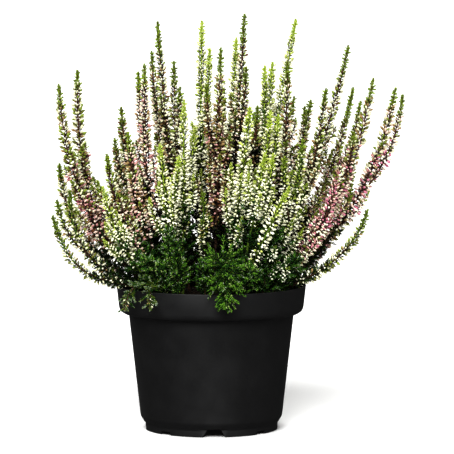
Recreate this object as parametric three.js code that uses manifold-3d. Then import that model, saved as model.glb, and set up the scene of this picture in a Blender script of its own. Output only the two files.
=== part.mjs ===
// A heather in a 12 cm nursery pot, in millimetres, +Z up, with its origin at the middle of the pot's foot.
// The pot is a thin moulded shell with a deep rim band and a notched foot. It holds a plug of peat, in which
// forty-six flowering stems, eleven leafy shoots and one trailing sprig stand, each in a hole of its own.
import * as THREE from "three";
import { mergeVertices } from "three/addons/utils/BufferGeometryUtils.js";
import Module from "manifold-3d";

const wasm = await Module();
wasm.setup();

// ---- driving dimensions ----
const gap = 0.35; // clearance between pieces that touch
const weld = 1e-4; // corners closer than this are one
const rim = { top: 91.4, outer: 60, low: 77.2, lowOuter: 58.4, wall: 1.2, ledge: 0.6 };
// the step between the body and the rim band: where it leaves the body, where it bends up, and its inside
const step = { inner: 55.2, under: 73.8, outer: 57.4, bend: 75, inside: 55.8, insideLow: 76 };
const body = { top: 73.6, topOuter: 52.3, bottom: 8.2, bottomOuter: 44.9, wall: 1.2 };
const foot = { outer: 42.3, inner: 40.9, high: 4, plate: 3.5, plateTop: 4.8, pad: 8 };
const notch = {
  height: 4.9, topWidth: 8, bottomWidth: 14.4, reach: 30, depth: 20, pocketWidth: 20, pocketDepth: 0.7,
  turn: 2.3,
};
const smallNotch = { height: 2, width: 7.6, depth: 8 };
const potSides = 32;
// The peat: its top from the middle to the edge, its underside, the heel where it meets the body's wall, the
// neck under the rim band, and the wall radii that it follows inside the band.
const soil = {
  sides: 24, middle: 87, shoulder: 40, shoulderHigh: 85.2, edge: 83, low: 5.2, heel: 12, heelIn: 1.2,
  neck: 75, neckHigh: 75.4, band: [[55.4, 76.6], [57.1, 78.4]], bandTop: 57.4, slack: 0.2,
};
const root = { depth: 8 }; // how far a stem stands below the peat's highest point
const hole = { above: 6, stem: 2, shoot: 2.4, sprig: 1.9 }; // radii, and how far it opens over the roots
const stem = { radius: 1.15, bareShare: 0.22 }; // bareShare is the part of its length below the first bud
// Where a stem's two middle points stand, as shares of the way out and up to its tip, and how bow shifts them.
const bend = { low: 0.34, lowUp: 0.33, lowOut: 0.3, lowDown: 0.13, high: 0.67, highOut: 0.35, highDown: 0.26 };
const side = { from: 0.5, bow: 0.6, bareShare: 0.25, greenShare: 0.16, radius: 0.8, fullness: 0.88 };
// along a stem: the distance from ring to ring, and how far the points reach and lift
const sprigRing = { step: 8, reach: 2.9, lift: 2.4 };
const budSwell = { first: 0.8, rise: 1.4, late: 1.52, fall: 0.95 }; // how full the buds are along a spike
const budRing = { step: 4.9, core: 1.85, taper: 0.8, reach: 4.6, lift: 1.9 };
const leafRing = { step: 4.2, core: 0.5, reach: 0.8, swellCore: 0.65, swellReach: 1.4, lift: 1.2 };
const shootRing = { step: 5.9, foot: 1.2, core: 1, coreShare: 0.42, reach: 1.6, lift: 4 };
const shootSwell = { first: 0.2, rise: 2, fall: 2.2 };
// how a shoot bends out to its tip
const arch = { shootLow: 0.05, sprigLow: 0.15, high: 0.85, below: 11, lift: 3 };
const shootSides = 8;
const shootWobble = 0.5;
const armRing = { step: 4, foot: 1, core: 0.8, reach: 2.6, lift: 1.4, bare: 3, wobble: 0.4, turn: 0.4 };
const spikeSides = 4;
const spikeWobble = 0.26; // the share by which the buds' reach varies
const ringTurn = 0.16; // each ring's turn from the last, in radians
const seeds = { stem: 100, shoot: 500, sprig: 700 };

const colours = {
  plastic: new THREE.MeshStandardMaterial({ color: "#1c1c1d", roughness: 0.42 }),
  peat: new THREE.MeshStandardMaterial({ color: "#2d2119", roughness: 0.95 }),
  white: new THREE.MeshStandardMaterial({ color: "#dcdabc", roughness: 0.7 }),
  pink: new THREE.MeshStandardMaterial({ color: "#b4697d", roughness: 0.7 }),
  lime: new THREE.MeshStandardMaterial({ color: "#a5bd55", roughness: 0.7 }),
  dusky: new THREE.MeshStandardMaterial({ color: "#a08266", roughness: 0.7 }),
  leaf: new THREE.MeshStandardMaterial({ color: "#4f8426", roughness: 0.65 }),
  deepLeaf: new THREE.MeshStandardMaterial({ color: "#2f5220", roughness: 0.65 }),
};

// The flowering stems. tip is the spike's end and root its place in the peat. bow bends the stem outwards low
// down, so that it rises steeper at the end, and sag lowers its outer half. green is the length of the leafy
// end above the buds. side is a second spike's tip, measured from the first.
const floweringStems = [
  { root: [-14, 6], tip: [-34, 14, 257], bow: 0.3, green: 19, colour: "dusky", side: [-4, 9, -19] },
  { root: [-8, 27], tip: [-6, 26, 257], bow: 0.0, green: 12, colour: "lime", side: [5, -10, -17] },
  { root: [2, 0], tip: [6, 0, 241], bow: 0.0, green: 18, colour: "pink", side: [-9, -14, -22] },
  { root: [8, 6], tip: [21, 10, 262], bow: 0.2, green: 16, colour: "dusky", side: [1, -10, -33] },
  { root: [7, 20], tip: [16, 36, 246], bow: 0.2, green: 11, colour: "lime" },
  { root: [21, 9], tip: [39, 20, 231], bow: 0.3, green: 9, colour: "lime", side: [-5, -8, -2] },
  { root: [22, 18], tip: [54, 34, 258], bow: 0.0, green: 12, colour: "lime" },
  { root: [29, 3], tip: [48, 2, 232], bow: 0.9, green: 12, colour: "dusky" },
  { root: [29, 10], tip: [87, 14, 242], bow: 0.3, green: 18, colour: "dusky", side: [-17, -8, -54] },
  { root: [-32, -5], tip: [-42, -8, 231], bow: 0.9, green: 12, colour: "pink", side: [-4, 9, -5] },
  { root: [-22, 26], tip: [-24, 38, 231], bow: 0.2, green: 14, colour: "dusky", side: [4, -9, -16] },
  { root: [-18, -15], tip: [-17, -14, 209], bow: 0.0, green: 10, colour: "lime", side: [6, 14, -20] },
  { root: [-25, 1], tip: [-57, 8, 203], bow: 0.6, green: 8, colour: "white", side: [-4, -8, -19] },
  { root: [-27, -11], tip: [-52, -18, 188], bow: 0.5, green: 9, colour: "pink" },
  { root: [-31, 8], tip: [-85, 22, 226], bow: 1.1, green: 10, colour: "pink", side: [3, -9, -48] },
  { root: [-38, -1], tip: [-96, 0, 218], bow: 0.75, green: 12, colour: "pink" },
  { root: [36, -3], tip: [102, -4, 222], bow: 0.5, green: 14, colour: "pink", side: [-13, -8, -33] },
  { root: [42, 6], tip: [117, 14, 215], bow: 0.55, green: 12, colour: "pink", side: [4, -8, -4] },
  { root: [34, 16], tip: [91, 38, 214], bow: 0.4, green: 22, colour: "pink", side: [5, 8, -9] },
  { root: [29, -5], tip: [72, -12, 216], bow: 0.5, green: 10, colour: "dusky", side: [-8, 10, -44] },
  { root: [27, 25], tip: [64, 42, 206], bow: 0.3, green: 8, colour: "dusky", side: [-4, -8, -4] },
  { root: [19, -9], tip: [29, -14, 205], bow: 0.2, green: 10, colour: "dusky" },
  { root: [10, -17], tip: [24, -44, 206], bow: 0.0, green: 8, colour: "lime" },
  { root: [21, -17], tip: [37, -28, 203], bow: 0.2, green: 12, colour: "lime", side: [5, 9, -3] },
  { root: [-40, 12], tip: [-97, 26, 166], bow: 0.8, green: 9, colour: "white" },
  { root: [-38, -10], tip: [-88, -26, 153], bow: 1.0, green: 9, colour: "white", side: [-8, -2, -6] },
  { root: [-35, -17], tip: [-98, -48, 139], bow: 0.4, sag: 0.5, green: 11, colour: "white" },
  { root: [-30, -23], tip: [-67, -46, 157], bow: 0.5, green: 9, colour: "lime" },
  { root: [-24, -16], tip: [-65, -32, 176], bow: 0.6, green: 9, colour: "pink", side: [-6, 9, -17] },
  { root: [38, -17], tip: [97, -40, 142], bow: 0.6, green: 12, colour: "white" },
  { root: [42, 19], tip: [90, 30, 153], bow: 0.6, green: 12, colour: "dusky" },
  { root: [15, -36], tip: [48, -60, 158], bow: 0.0, green: 10, colour: "lime" },
  { root: [28, -16], tip: [57, -28, 185], bow: 0.6, green: 9, colour: "lime", side: [-12, -12, -10] },
  { root: [17, -26], tip: [33, -64, 179], bow: 0.0, green: 10, colour: "lime", side: [5, 8, -1] },
  { root: [-22, -26], tip: [-32, -42, 183], bow: 0.0, green: 9, colour: "lime", side: [12, -6, -7] },
  { root: [-4, -27], tip: [-5, -53, 154], bow: 0.0, green: 7, colour: "white" },
  { root: [34, -11], tip: [79, -24, 166], bow: 0.6, green: 8, colour: "pink" },
  { root: [-27, 19], tip: [-59, 54, 191], bow: 0.3, green: 10, colour: "white", side: [8, 8, -14] },
  { root: [-16, 34], tip: [-38, 66, 213], bow: 0.2, green: 10, colour: "pink", side: [8, 8, -16] },
  { root: [2, 31], tip: [8, 74, 212], bow: 0.1, green: 10, colour: "dusky", side: [-12, 8, -22] },
  { root: [12, 29], tip: [36, 66, 214], bow: 0.1, green: 12, colour: "white", side: [-8, 8, -18] },
  { root: [20, 31], tip: [54, 68, 207], bow: 0.2, green: 10, colour: "pink", side: [-6, 10, -20] },
  { root: [-35, 23], tip: [-62, 62, 168], bow: 0.6, green: 9, colour: "dusky" },
  { root: [35, 28], tip: [84, 62, 176], bow: 0.6, green: 10, colour: "pink", side: [8, -9, -14] },
  { root: [-9, 41], tip: [-28, 92, 161], bow: 0.6, green: 9, colour: "lime", side: [9, 6, -12] },
  { root: [12, 40], tip: [28, 94, 165], bow: 0.6, green: 9, colour: "white", side: [-9, 5, -14] },
];

// The leafy shoots stand round the flowering stems. The first hangs over the pot's rim.
const leafyShoots = [
  { root: [6, -43], tip: [9, -69, 84], over: 118, width: 6.3, colour: "leaf" },
  { root: [19, -46], tip: [25, -58, 108], over: 99, width: 6.3, colour: "leaf" },
  { root: [-4, -42], tip: [-6, -53, 112], over: 100, width: 4.4, colour: "deepLeaf" },
  { root: [-20, -38], tip: [-26, -49, 131], over: 104, width: 6, colour: "leaf" },
  { root: [-28, -36], tip: [-41, -49, 114], over: 103, width: 6, colour: "leaf" },
  { root: [32, -34], tip: [40, -44, 130], over: 104, width: 6, colour: "deepLeaf" },
  { root: [39, -25], tip: [53, -33, 112], over: 100, width: 6, colour: "deepLeaf" },
  { root: [28, 39], tip: [34, 51, 117], over: 100, width: 5.2, colour: "deepLeaf" },
  { root: [1, 46], tip: [1, 58, 114], over: 100, width: 6, colour: "leaf" },
  { root: [-29, 35], tip: [-38, 46, 120], over: 100, width: 6, colour: "deepLeaf" },
  { root: [44, -8], tip: [57, -12, 103], over: 98, width: 3, colour: "leaf" },
];
const trailingSprig = { root: [-35, -31], over: 98, tips: [[-54, -48, 80], [-38, -60, 82]] };

// ---- helpers ----
// A seeded draw, the same on every run.
function drawFrom(seed) {
  let state = seed >>> 0;
  return () => {
    state = (state + 0x6d2b79f5) >>> 0;
    let t = state;
    t = Math.imul(t ^ (t >>> 15), t | 1);
    t ^= t + Math.imul(t ^ (t >>> 7), t | 61);
    return ((t ^ (t >>> 14)) >>> 0) / 4294967296;
  };
}

function solidOf(geometry) {
  const bare = geometry.clone();
  bare.deleteAttribute("normal");
  bare.deleteAttribute("uv");
  const merged = mergeVertices(bare, weld);
  return new wasm.Manifold(
    new wasm.Mesh({
      numProp: 3,
      vertProperties: new Float32Array(merged.attributes.position.array),
      triVerts: new Uint32Array(merged.index.array),
    }),
  );
}

function geometryOf(solid) {
  const mesh = solid.getMesh();
  return new THREE.BufferGeometry()
    .setAttribute("position", new THREE.BufferAttribute(new Float32Array(mesh.vertProperties), 3))
    .setIndex(new THREE.BufferAttribute(new Uint32Array(mesh.triVerts), 1));
}

// A profile of [radius, height] points, turned round the Z axis.
function turned(profile, sides) {
  const points = profile.map(([r, z]) => new THREE.Vector2(r, z));
  return new THREE.LatheGeometry(points, sides).rotateX(Math.PI / 2);
}

// A stem's line, from the soil at base to tip.
function stemLine(base, tip, bow, sag = 0) {
  const across = tip.clone().sub(base);
  const at = (out, up) =>
    new THREE.Vector3(base.x + across.x * out, base.y + across.y * out, base.z + across.z * up);
  const low = at(bend.low + bend.lowOut * bow, bend.lowUp - bend.lowDown * bow);
  const high = at(bend.high + bend.highOut * bow, bend.high - bend.highDown * bow - sag);
  return new THREE.CubicBezierCurve3(base, low, high, tip);
}

// A closed tube round a line. Each ring has a distance along the line, a low and a high radius, and a lift.
// Its corners are low and high by turns, and swap from ring to ring, so that each high corner is the point of
// a bud or leaf that stands on the four low ones round it.
function knobbedTube(line, rings, { sides, turn, wobble }) {
  const length = line.getLength();
  const level = line.getPoint(1).sub(line.getPoint(0)).setZ(0);
  if (level.length() < 1) level.set(1, 0, 0); // a line that stands nearly upright
  const across = new THREE.Vector3(-level.y, level.x, 0).normalize();
  const places = [];
  const faces = [];
  rings.forEach((ring, k) => {
    const share = Math.min(1, Math.max(0, ring.at / length));
    const way = ring.at > 0 ? line.getTangentAt(share) : new THREE.Vector3(0, 0, 1);
    const middle = line.getPointAt(share);
    if (ring.at < 0) middle.z += ring.at;
    const first = across.clone().addScaledVector(way, -across.dot(way)).normalize();
    const second = new THREE.Vector3().crossVectors(way, first);
    for (let j = 0; j < sides; j += 1) {
      const high = (k + j) % 2 === 0;
      const angle = (2 * Math.PI * j) / sides + turn + ringTurn * k;
      const radius = high ? ring.high * (1 + wobble()) : ring.low;
      places.push(
        middle.clone()
          .addScaledVector(first, radius * Math.cos(angle))
          .addScaledVector(second, radius * Math.sin(angle))
          .addScaledVector(way, high ? ring.lift : 0),
      );
    }
    if (k === 0) return;
    for (let j = 0; j < sides; j += 1) {
      const next = (j + 1) % sides;
      const [a, b] = [(k - 1) * sides + j, (k - 1) * sides + next];
      const [c, d] = [k * sides + next, k * sides + j];
      if ((k - 1 + j) % 2 === 0) faces.push(a, b, d, b, c, d);
      else faces.push(a, b, c, a, c, d);
    }
  });
  for (let j = 1; j < sides - 1; j += 1) faces.push(0, j + 1, j);
  const last = (rings.length - 1) * sides;
  places.push(line.getPoint(1));
  for (let j = 0; j < sides; j += 1) faces.push(last + j, last + ((j + 1) % sides), places.length - 1);
  return new THREE.BufferGeometry().setFromPoints(places).setIndex(faces);
}

// ---- pot ----
function potGeometry() {
  const profile = [
    [0, 0], [foot.pad, 0], [foot.pad, foot.plate], [foot.inner, foot.plate], [foot.inner, 0],
    [foot.outer, 0], [foot.outer, foot.high], [body.bottomOuter, body.bottom], [body.topOuter, body.top],
    [step.inner, step.under], [step.outer, step.bend], [rim.lowOuter, rim.low], [rim.outer, rim.top],
    [rim.outer - rim.wall, rim.top], [rim.lowOuter - rim.wall, rim.low + rim.ledge],
    [step.inside, step.insideLow], [body.topOuter - body.wall, step.bend],
    [body.bottomOuter - body.wall, body.bottom],
    [body.bottomOuter - 2 * body.wall, foot.plateTop], [0, foot.plateTop],
  ];
  let pot = solidOf(turned(profile, potSides));
  const outline = new THREE.Shape();
  const below = -1; // the cutters start below the foot
  outline.moveTo(-notch.bottomWidth / 2, below);
  outline.lineTo(notch.bottomWidth / 2, below);
  outline.lineTo(notch.topWidth / 2, notch.height);
  outline.lineTo(-notch.topWidth / 2, notch.height);
  const slot = new THREE.ExtrudeGeometry(outline, { depth: notch.depth, bevelEnabled: false })
    .rotateX(Math.PI / 2)
    .translate(0, -notch.reach, 0);
  const pocketReach = 4;
  const pocket = new THREE.BoxGeometry(notch.pocketWidth, pocketReach, notch.height - below)
    .translate(0, -foot.outer + notch.pocketDepth - pocketReach / 2, (notch.height + below) / 2);
  const small = new THREE.BoxGeometry(smallNotch.width, smallNotch.depth, smallNotch.height - below)
    .translate(0, -foot.outer, (smallNotch.height + below) / 2);
  for (let quarter = 0; quarter < 4; quarter += 1) {
    [slot, pocket, small].forEach((cutter) => {
      const between = cutter === small ? 0.25 : 0;
      const turn = (quarter / 2 + between) * Math.PI + THREE.MathUtils.degToRad(notch.turn);
      pot = pot.subtract(solidOf(cutter.clone().rotateZ(turn)));
    });
  }
  return geometryOf(pot);
}

// ---- flowering stems ----
// Rings for a stem of that length: the leafy stalk, the stretch that carries buds and the leafy green end.
// The buds are fullest a little above the first ones and grow smaller towards the end.
function spikeRings(length, { bare, green, stalk, start, fullness }) {
  const rings = [{ at: start, low: stalk, high: stalk, lift: 0 }];
  const buds = length - bare - green;
  if (start < 0) rings.push({ at: 0, low: stalk, high: stalk, lift: 0 });
  const stalkRings = Math.round(bare / sprigRing.step);
  for (let n = 1; n <= stalkRings; n += 1) {
    const at = (n / (stalkRings + 1)) * bare;
    rings.push({ at, low: stalk, high: sprigRing.reach, lift: sprigRing.lift });
  }
  const budRings = Math.max(3, Math.round(buds / budRing.step));
  for (let n = 0; n < budRings; n += 1) {
    const share = n / budRings;
    const rising = budSwell.first + budSwell.rise * share;
    const full = fullness * Math.min(1, rising, budSwell.late - budSwell.fall * share);
    const low = budRing.core - budRing.taper * share;
    rings.push({ at: bare + share * buds, low, high: budRing.reach * full, lift: budRing.lift });
  }
  const leafRings = Math.max(2, Math.round(green / leafRing.step));
  for (let n = 0; n < leafRings; n += 1) {
    const left = 1 - n / leafRings;
    const low = leafRing.core + leafRing.swellCore * left;
    const high = leafRing.reach + leafRing.swellReach * left;
    rings.push({ at: length - green * left, low, high, lift: leafRing.lift });
  }
  return rings;
}

function rootPlace([x, y]) {
  return new THREE.Vector3(x, y, soil.middle);
}

function floweringStem(spike, index) {
  const draw = drawFrom(seeds.stem + index);
  const tip = new THREE.Vector3(...spike.tip);
  const line = stemLine(rootPlace(spike.root), tip, spike.bow, spike.sag);
  const length = line.getLength();
  const look = { sides: spikeSides, turn: draw() * Math.PI, wobble: () => spikeWobble * (draw() - 0.5) };
  const main = knobbedTube(line, spikeRings(length, {
    bare: stem.bareShare * length, green: spike.green, stalk: stem.radius, start: -root.depth, fullness: 1,
  }), look);
  if (!spike.side) return main;
  const sideTip = tip.clone().add(new THREE.Vector3(...spike.side));
  const sideLine = stemLine(line.getPointAt(side.from), sideTip, side.bow);
  const sideLength = sideLine.getLength();
  const branch = knobbedTube(sideLine, spikeRings(sideLength, {
    bare: side.bareShare * sideLength, green: side.greenShare * sideLength, stalk: side.radius, start: 0,
    fullness: side.fullness,
  }), look);
  return geometryOf(solidOf(main).add(solidOf(branch)));
}

// ---- leafy shoots ----
// The line of a shoot that rises to a height over the peat and bends out to its tip.
function shootLine(base, tip, over, low) {
  const first = base.clone().lerp(tip, low).setZ(over);
  const second = base.clone().lerp(tip, arch.high).setZ(Math.max(over, tip.z - arch.below) + arch.lift);
  return new THREE.CubicBezierCurve3(base, first, second, tip);
}

function footRings(radius) {
  return [-root.depth, 0].map((at) => ({ at, low: radius, high: radius, lift: 0 }));
}

function leafyShoot(shoot, index) {
  const draw = drawFrom(seeds.shoot + index);
  const tip = new THREE.Vector3(...shoot.tip);
  const line = shootLine(rootPlace(shoot.root), tip, shoot.over, arch.shootLow);
  const length = line.getLength();
  const count = Math.round(length / shootRing.step);
  const rings = footRings(shootRing.foot);
  for (let n = 1; n < count; n += 1) {
    const share = n / count;
    const rising = shootSwell.first + shootSwell.rise * share;
    const full = shoot.width * Math.min(1, rising, shootSwell.fall * (1 - share));
    const low = shootRing.core + shootRing.coreShare * full;
    rings.push({ at: share * length, low, high: shootRing.reach + full, lift: shootRing.lift });
  }
  const wobble = () => shootWobble * (draw() - 0.5);
  return knobbedTube(line, rings, { sides: shootSides, turn: draw() * Math.PI, wobble });
}

function sprigGeometry() {
  const draw = drawFrom(seeds.sprig);
  const look = { sides: spikeSides, turn: armRing.turn, wobble: () => armRing.wobble * (draw() - 0.5) };
  const arms = trailingSprig.tips.map((place) => {
    const base = rootPlace(trailingSprig.root);
    const tip = new THREE.Vector3(...place);
    const line = shootLine(base, tip, trailingSprig.over, arch.sprigLow);
    const length = line.getLength();
    const count = Math.round(length / armRing.step);
    const rings = footRings(armRing.foot);
    for (let n = 1; n < count; n += 1) {
      const high = n > armRing.bare ? armRing.reach : armRing.foot;
      rings.push({ at: (n / count) * length, low: armRing.core, high, lift: armRing.lift });
    }
    return solidOf(knobbedTube(line, rings, look));
  });
  return geometryOf(arms[0].add(arms[1]));
}

// ---- peat ----
// The peat fills the pot up to the rim band, higher in the middle, a gap clear of the wall's flat sides.
function soilGeometry(places) {
  const inside = Math.cos(Math.PI / potSides);
  const wallAt = (z) =>
    THREE.MathUtils.mapLinear(z, body.bottom, body.top, body.bottomOuter, body.topOuter) - body.wall;
  const inBody = (z) => (wallAt(z) - soil.slack) * inside - gap;
  const inBand = (radius) => radius * inside - gap;
  const profile = [
    [0, soil.low], [inBody(soil.low) - soil.heelIn, soil.low], [inBody(soil.heel), soil.heel],
    [inBody(soil.neck), soil.neckHigh], ...soil.band.map(([radius, z]) => [inBand(radius), z]),
    [inBand(soil.bandTop), soil.edge], [soil.shoulder, soil.shoulderHigh], [0, soil.middle],
  ];
  let peat = solidOf(turned(profile, soil.sides));
  const deep = root.depth + hole.above;
  places.forEach(([x, y, radius]) => {
    const cutter = new THREE.CylinderGeometry(radius, radius, deep, 4)
      .rotateX(Math.PI / 2)
      .rotateZ(Math.atan2(y, x))
      .translate(x, y, soil.middle - root.depth - gap + deep / 2);
    peat = peat.subtract(solidOf(cutter));
  });
  return geometryOf(peat);
}

// ---- assembly ----
const heather = new THREE.Group();
heather.name = "potted_heather";

// Adds a piece. Its geometry is moved back to the origin and its mesh placed at its root.
function add(name, geometry, colour, { x, y, z } = new THREE.Vector3()) {
  const mesh = new THREE.Mesh(geometry.translate(-x, -y, -z), colours[colour]);
  mesh.name = name;
  mesh.position.set(x, y, z);
  heather.add(mesh);
}

const two = (n) => String(n).padStart(2, "0");
const holes = [];
floweringStems.forEach((spike, n) => {
  add(`flowering_stem_${two(n + 1)}`, floweringStem(spike, n), spike.colour, rootPlace(spike.root));
  holes.push([...spike.root, hole.stem]);
});
leafyShoots.forEach((shoot, n) => {
  add(`leafy_shoot_${two(n + 1)}`, leafyShoot(shoot, n), shoot.colour, rootPlace(shoot.root));
  holes.push([...shoot.root, hole.shoot]);
});
add("trailing_sprig", sprigGeometry(), "deepLeaf", rootPlace(trailingSprig.root));
holes.push([...trailingSprig.root, hole.sprig]);
add("peat", soilGeometry(holes), "peat");
add("pot", potGeometry(), "plastic");

export default heather;
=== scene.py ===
# A heather in flower in a black nursery pot. Sizes are in millimetres until a mesh is made.
import math

import bpy
import numpy as np
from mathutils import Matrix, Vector, noise


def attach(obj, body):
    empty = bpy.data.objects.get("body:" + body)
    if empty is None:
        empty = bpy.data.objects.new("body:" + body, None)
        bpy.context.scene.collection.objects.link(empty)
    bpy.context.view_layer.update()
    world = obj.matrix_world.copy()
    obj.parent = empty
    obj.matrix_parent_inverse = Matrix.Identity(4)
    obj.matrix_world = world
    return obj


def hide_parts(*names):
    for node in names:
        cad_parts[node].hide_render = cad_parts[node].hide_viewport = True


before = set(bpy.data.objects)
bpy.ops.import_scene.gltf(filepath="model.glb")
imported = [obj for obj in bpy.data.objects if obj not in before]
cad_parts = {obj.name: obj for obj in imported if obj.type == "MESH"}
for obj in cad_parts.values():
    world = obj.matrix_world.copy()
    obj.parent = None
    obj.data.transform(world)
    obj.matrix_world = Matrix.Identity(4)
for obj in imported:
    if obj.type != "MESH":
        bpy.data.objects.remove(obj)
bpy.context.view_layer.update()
mm = 0.001
print("frame loaded:", len(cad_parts), "nodes")


# Small helpers.
def clearSelection():
    if bpy.context.object and bpy.context.object.mode != "OBJECT":
        bpy.ops.object.mode_set(mode="OBJECT")
    bpy.ops.object.select_all(action="DESELECT")


def selectOnly(piece):
    clearSelection()
    piece.select_set(True)
    bpy.context.view_layer.objects.active = piece


def toLinear(hexColour):
    channels = [int(hexColour[n : n + 2], 16) / 255 for n in (1, 3, 5)]
    bent = [c / 12.92 if c <= 0.04045 else ((c + 0.055) / 1.055) ** 2.4 for c in channels]
    return (*bent, 1.0)


def addNode(tree, kind, settings=None, links=None):
    # settings are the node's own or its sockets' values; links go from a socket of another node
    node = tree.nodes.new(kind)
    for key, value in (settings or {}).items():
        if hasattr(node, key):
            setattr(node, key, value)
        else:
            node.inputs[key].default_value = value
    for key, socket in (links or {}).items():
        tree.links.new(socket, node.inputs[key])
    return node


def newFinish(name, colour, roughness, specular):
    finish = bpy.data.materials.new(name)
    finish.use_nodes = True
    shader = finish.node_tree.nodes["Principled BSDF"]
    shader.inputs["Base Color"].default_value = toLinear(colour)
    shader.inputs["Roughness"].default_value = roughness
    shader.inputs["Specular IOR Level"].default_value = specular
    return finish


def unit(vectors):
    return vectors / np.linalg.norm(vectors, axis=-1, keepdims=True)


# Finishes of the plant.
# Fresh heather has waxy scale leaves and papery sepals: a soft sheen, never gloss. Each tone is a plain
# colour, and a spike mixes several, because no two buds or leaves are alike.
petalTones = {
    "snow": "#FFFFEA", "milk": "#F6F6DE", "cream": "#E2E2C2", "limeBud": "#C4CE78", "greenBud": "#8E9E46",
    "blush": "#E8D2C4", "oldRose": "#CE9F9C", "rosePink": "#CF8A9E", "deepPink": "#A85C74", "wine": "#743C44",
    "tan": "#A28A62", "russet": "#6E4A2E", "olive": "#767A3A",
}
# The two near-black leaf tones are painted shade, for leaves deep in the plant and between the buds.
leafTones = {
    "limeLeaf": "#B4C454", "freshLeaf": "#96AA3C", "tipLeaf": "#74892A", "oliveLeaf": "#58661E",
    "youngLeaf": "#6E9A32", "paleLeaf": "#9DB06E", "frostLeaf": "#93A288", "summerLeaf": "#4C7624",
    "deepLeaf": "#264F14", "shadeLeaf": "#122A0A", "paintedShadeLeaf": "#17170B", "drabLeaf": "#343410",
    "brownBract": "#2E2012", "redBract": "#46221E",
}
barkTones = {"wood": "#4E3827", "reddishBark": "#62402E", "greenBark": "#6F8A30", "limeBark": "#9DB63A"}

tones = {}


def plainFinish(name, colour, roughness, specular):
    finish = newFinish(name, colour, roughness, specular)
    finish.diffuse_color = toLinear(colour)
    tones[name] = (len(tones), finish)


for toneName, toneColour in petalTones.items():
    plainFinish(toneName, toneColour, 0.65, 0.25)  # papery sepal, nearly matt
for toneName, toneColour in leafTones.items():
    plainFinish(toneName, toneColour, 0.5, 0.25)  # waxy leaf, a faint sheen
for toneName, toneColour in barkTones.items():
    plainFinish(toneName, toneColour, 0.75, 0.3)  # thin bark, dull


def toneOf(name):
    return tones[name][0]


def drawTones(draw, mix, count):
    # mix is {tone: weight}
    names = list(mix)
    weights = np.array([mix[name] for name in names], float)
    numbers = np.array([toneOf(name) for name in names])
    return numbers[draw.choice(len(names), count, p=weights / weights.sum())]


# One bud, one leaf and one twig, modelled once.
def startRing(corners, radius, height=0.0):
    clearSelection()
    bpy.ops.mesh.primitive_circle_add(
        vertices=corners, radius=radius * mm, fill_type="NGON", location=(0, 0, height * mm)
    )
    bpy.ops.object.transform_apply(location=True, rotation=False, scale=False)
    bpy.ops.object.mode_set(mode="EDIT")
    bpy.ops.mesh.select_all(action="SELECT")
    return bpy.context.object


def pullUp(height, widen, lean=0.0):
    bpy.ops.mesh.extrude_region_move(TRANSFORM_OT_translate={"value": (0, lean * mm, height * mm)})
    bpy.ops.transform.resize(value=(widen, widen, 1))


def endShape():
    # all faces outwards
    bpy.ops.mesh.select_all(action="SELECT")
    bpy.ops.mesh.normals_make_consistent(inside=False)
    bpy.ops.object.mode_set(mode="OBJECT")


def closeTip():
    bpy.ops.mesh.merge(type="CENTER")
    endShape()


def closeFoot(piece, depth):
    # the lowest face drawn down to a point
    bpy.ops.mesh.merge(type="CENTER")
    bpy.ops.object.mode_set(mode="OBJECT")
    lowest = min(piece.data.polygons, key=lambda face: face.center.z).index
    bpy.ops.object.mode_set(mode="EDIT")
    bpy.ops.mesh.select_all(action="DESELECT")
    bpy.ops.object.mode_set(mode="OBJECT")
    piece.data.polygons[lowest].select = True
    bpy.ops.object.mode_set(mode="EDIT")
    bpy.ops.mesh.extrude_region_move(TRANSFORM_OT_translate={"value": (0, 0, -depth * mm)})
    closeTip()


def readAll(items, key, size, kind):
    values = np.empty(len(items) * size, kind)
    items.foreach_get(key, values)
    return values


def takeShape(piece, partOf):
    # the piece's mesh as arrays in millimetres, with a part number for each face, and the piece removed
    mesh = piece.data
    points = readAll(mesh.vertices, "co", 3, float).reshape(-1, 3) / mm
    corners = readAll(mesh.loops, "vertex_index", 1, int)
    totals = readAll(mesh.polygons, "loop_total", 1, int)
    middles = readAll(mesh.polygons, "center", 3, float).reshape(-1, 3) / mm
    bpy.data.objects.remove(piece)
    parts = np.array([partOf(middle) for middle in middles])
    return {"points": points, "corners": corners, "totals": totals, "parts": parts}


# A bud stands on a thin stalk, swells and closes in a blunt point; its four sepals make four ribs.
bud = {
    "corners": 4, "neck": 0.5, "stalkLength": 1.1, "widest": 0.82, "widestAt": 1.6, "length": 4.1,
    "close": 0.3, "petalsFrom": 0.1,
}


def modelBud():
    piece = startRing(bud["corners"], bud["neck"])
    pullUp(bud["widestAt"], bud["widest"] / bud["neck"])
    pullUp(bud["length"] - bud["stalkLength"] - bud["widestAt"], bud["close"])
    closeFoot(piece, bud["stalkLength"])
    shape = takeShape(piece, lambda middle: int(middle[2] > bud["petalsFrom"]))
    shape["points"][:, 2] += bud["stalkLength"]
    return shape


# A scale leaf is keeled below and flat above, curved towards the stem at its tip.
leaf = {"corners": 3, "widest": 0.52, "length": 2.1, "widestAt": 0.38, "close": 0.2, "curl": -0.2}


def modelLeaf():
    piece = startRing(leaf["corners"], leaf["widest"])
    pullUp(leaf["length"] * (1 - leaf["widestAt"]), leaf["close"], leaf["curl"])
    closeFoot(piece, leaf["length"] * leaf["widestAt"])
    shape = takeShape(piece, lambda middle: 0)
    shape["points"][:, 2] += leaf["length"] * leaf["widestAt"]
    return shape


# A twig is a plain tapering stick of unit length.
stick = {"corners": 3, "radius": 0.3, "low": 0.6, "lowTaper": 0.75, "high": 0.4, "highTaper": 0.3}


def modelTwig():
    piece = startRing(stick["corners"], stick["radius"])
    pullUp(stick["low"], stick["lowTaper"])
    pullUp(stick["high"], stick["highTaper"])
    closeTip()
    return takeShape(piece, lambda middle: 0)


budShape, leafShape, twigShape = modelBud(), modelLeaf(), modelTwig()
print("bud, leaf and twig modelled")


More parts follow.
